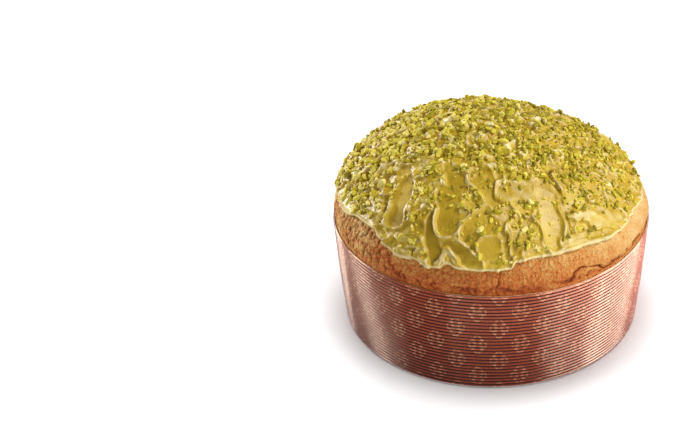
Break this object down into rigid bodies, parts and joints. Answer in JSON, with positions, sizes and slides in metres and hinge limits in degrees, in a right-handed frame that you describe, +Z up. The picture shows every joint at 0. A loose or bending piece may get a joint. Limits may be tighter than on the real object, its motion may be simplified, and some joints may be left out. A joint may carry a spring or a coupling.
{
  "type": "iced panettone in its paper mould",
  "caption": "Low domed panettone in a flared corrugated paper baking mould, with knife-spread pistachio icing and chopped pistachios on its crown.",
  "frame": {"origin": "centre of the mould's foot, on the surface that it stands on", "axes": "+Z up through the dome; -Y is the front that the camera sees; the dome leans a little towards -X"},
  "size_m": [0.21, 0.21, 0.1439],
  "materials": {
    "mould_paper": "printed micro-corrugated greaseproof paper, satin",
    "crust": "baked crust, matte and finely pored",
    "pistachio_cream": "set pistachio cream, satin, spread with a palette knife",
    "chopped_pistachio": "chopped raw nut, matte"
  },
  "bodies": {
    "root": {"mould_wall": "mould_paper", "mould_base": "mould_paper", "loaf": "crust", "pistachio_icing": "pistachio_cream", "pistachio_piece_01": "chopped_pistachio", "pistachio_piece_02": "chopped_pistachio", "pistachio_piece_03": "chopped_pistachio", "pistachio_piece_04": "chopped_pistachio", "pistachio_piece_05": "chopped_pistachio", "pistachio_piece_06": "chopped_pistachio", "pistachio_piece_07": "chopped_pistachio", "pistachio_piece_08": "chopped_pistachio", "pistachio_piece_09": "chopped_pistachio", "pistachio_piece_10": "chopped_pistachio", "pistachio_piece_11": "chopped_pistachio", "pistachio_piece_12": "chopped_pistachio", "pistachio_piece_13": "chopped_pistachio", "pistachio_piece_14": "chopped_pistachio", "pistachio_piece_15": "chopped_pistachio", "pistachio_piece_16": "chopped_pistachio", "pistachio_piece_17": "chopped_pistachio", "pistachio_piece_18": "chopped_pistachio", "pistachio_piece_19": "chopped_pistachio", "pistachio_piece_20": "chopped_pistachio", "pistachio_piece_21": "chopped_pistachio", "pistachio_piece_22": "chopped_pistachio", "pistachio_piece_23": "chopped_pistachio", "pistachio_piece_24": "chopped_pistachio", "pistachio_piece_25": "chopped_pistachio", "pistachio_piece_26": "chopped_pistachio", "pistachio_piece_27": "chopped_pistachio", "pistachio_piece_28": "chopped_pistachio", "pistachio_piece_29": "chopped_pistachio", "pistachio_piece_30": "chopped_pistachio", "pistachio_piece_31": "chopped_pistachio", "pistachio_piece_32": "chopped_pistachio", "pistachio_piece_33": "chopped_pistachio", "pistachio_piece_34": "chopped_pistachio", "pistachio_piece_35": "chopped_pistachio", "pistachio_piece_36": "chopped_pistachio", "pistachio_piece_37": "chopped_pistachio", "pistachio_piece_38": "chopped_pistachio", "pistachio_piece_39": "chopped_pistachio", "pistachio_piece_40": "chopped_pistachio", "pistachio_piece_41": "chopped_pistachio", "pistachio_piece_42": "chopped_pistachio", "pistachio_piece_43": "chopped_pistachio", "pistachio_piece_44": "chopped_pistachio", "pistachio_piece_45": "chopped_pistachio", "pistachio_piece_46": "chopped_pistachio", "pistachio_piece_47": "chopped_pistachio", "pistachio_piece_48": "chopped_pistachio", "pistachio_piece_49": "chopped_pistachio", "pistachio_piece_50": "chopped_pistachio", "pistachio_piece_51": "chopped_pistachio", "pistachio_piece_52": "chopped_pistachio", "pistachio_piece_53": "chopped_pistachio", "pistachio_piece_54": "chopped_pistachio"}
  },
  "joints": []
}
